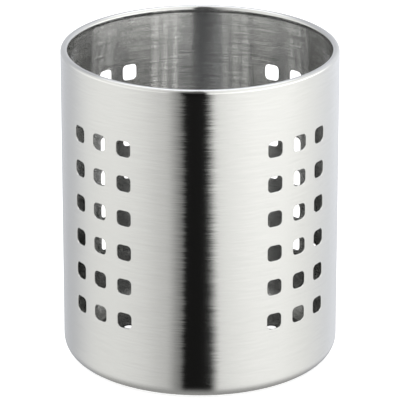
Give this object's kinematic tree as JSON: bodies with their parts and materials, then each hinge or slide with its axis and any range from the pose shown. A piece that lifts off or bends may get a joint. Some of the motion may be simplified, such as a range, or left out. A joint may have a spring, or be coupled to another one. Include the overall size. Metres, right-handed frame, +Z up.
{
  "type": "cutlery basket",
  "caption": "Round stainless steel cutlery basket with a rolled rim, groups of pierced holes round its wall, a rounded foot and a drained base plate.",
  "frame": {"origin": "on the table, at the centre of the foot ring that the basket stands on", "axes": "+Z up along the basket's axis; -Y is the front, midway between two groups of holes, as in the picture"},
  "size_m": [0.12, 0.12, 0.14],
  "materials": {
    "wall_steel": "stainless steel, finely brushed round the body inside and out",
    "base_steel": "stainless steel, finely brushed in rings round the middle"
  },
  "bodies": {
    "root": {"wall": "wall_steel", "base_plate": "base_steel"}
  },
  "joints": []
}
